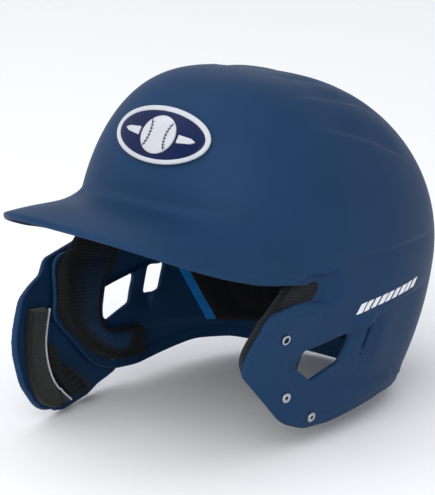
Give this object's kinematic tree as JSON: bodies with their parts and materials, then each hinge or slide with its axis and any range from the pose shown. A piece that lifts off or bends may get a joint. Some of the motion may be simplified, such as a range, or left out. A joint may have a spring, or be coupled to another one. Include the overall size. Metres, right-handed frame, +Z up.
{
  "type": "batting helmet",
  "caption": "Baseball batting helmet: a hard domed shell with a bill and ear flaps, a bolted jaw guard on one side and a padded liner.",
  "frame": {"origin": "middle of the bounding box in plan, at the surface that the helmet rests on", "axes": "+X to the wearer's left, +Y to the back of the head, -Y the way the bill points, +Z up; the helmet is stored tipped back on its rear rim and jaw guard, as it rests on a table"},
  "size_m": [0.2062, 0.3136, 0.2352],
  "materials": {
    "shell": "smooth matte moulded ABS",
    "guard": "smooth matte moulded plastic",
    "badge_white": "glossy raised ring and emblem",
    "badge_blue": "glossy dark inset",
    "foam": "closed-cell foam",
    "pad_fabric": "knitted stretch cover over foam",
    "webbing": "ribbed woven tape over foam",
    "piping": "wrapped cord",
    "screw_steel": "zinc plated",
    "nut_steel": "zinc plated"
  },
  "bodies": {
    "root": {"shell": "shell", "jaw_guard": "guard", "guard_edge_pad": "webbing", "guard_cheek_pad": "pad_fabric", "guard_pad_piping": "piping", "badge_ring": "badge_white", "badge_plate": "badge_blue", "badge_ball": "badge_white", "badge_bar_left": "badge_white", "badge_bar_right": "badge_white", "flap_screw_1": "screw_steel", "flap_screw_1_nut": "nut_steel", "guard_screw_1": "screw_steel", "guard_screw_1_nut": "nut_steel", "flap_screw_2": "screw_steel", "flap_screw_2_nut": "nut_steel", "guard_screw_2": "screw_steel", "guard_screw_2_nut": "nut_steel", "flap_screw_3": "screw_steel", "flap_screw_3_nut": "nut_steel", "guard_screw_3": "screw_steel", "guard_screw_3_nut": "nut_steel", "brow_pad_foam": "foam", "brow_pad_cushion": "pad_fabric", "crown_pad_foam": "foam", "crown_pad_cushion": "pad_fabric", "rear_pad_foam": "foam", "rear_pad_cushion": "pad_fabric", "side_pad_left_foam": "foam", "side_pad_left_cushion": "pad_fabric", "side_pad_right_foam": "foam", "side_pad_right_cushion": "pad_fabric", "ear_pad_left_foam": "foam", "ear_pad_left_cushion": "pad_fabric", "ear_pad_right_foam": "foam", "ear_pad_right_cushion": "pad_fabric"}
  },
  "joints": []
}
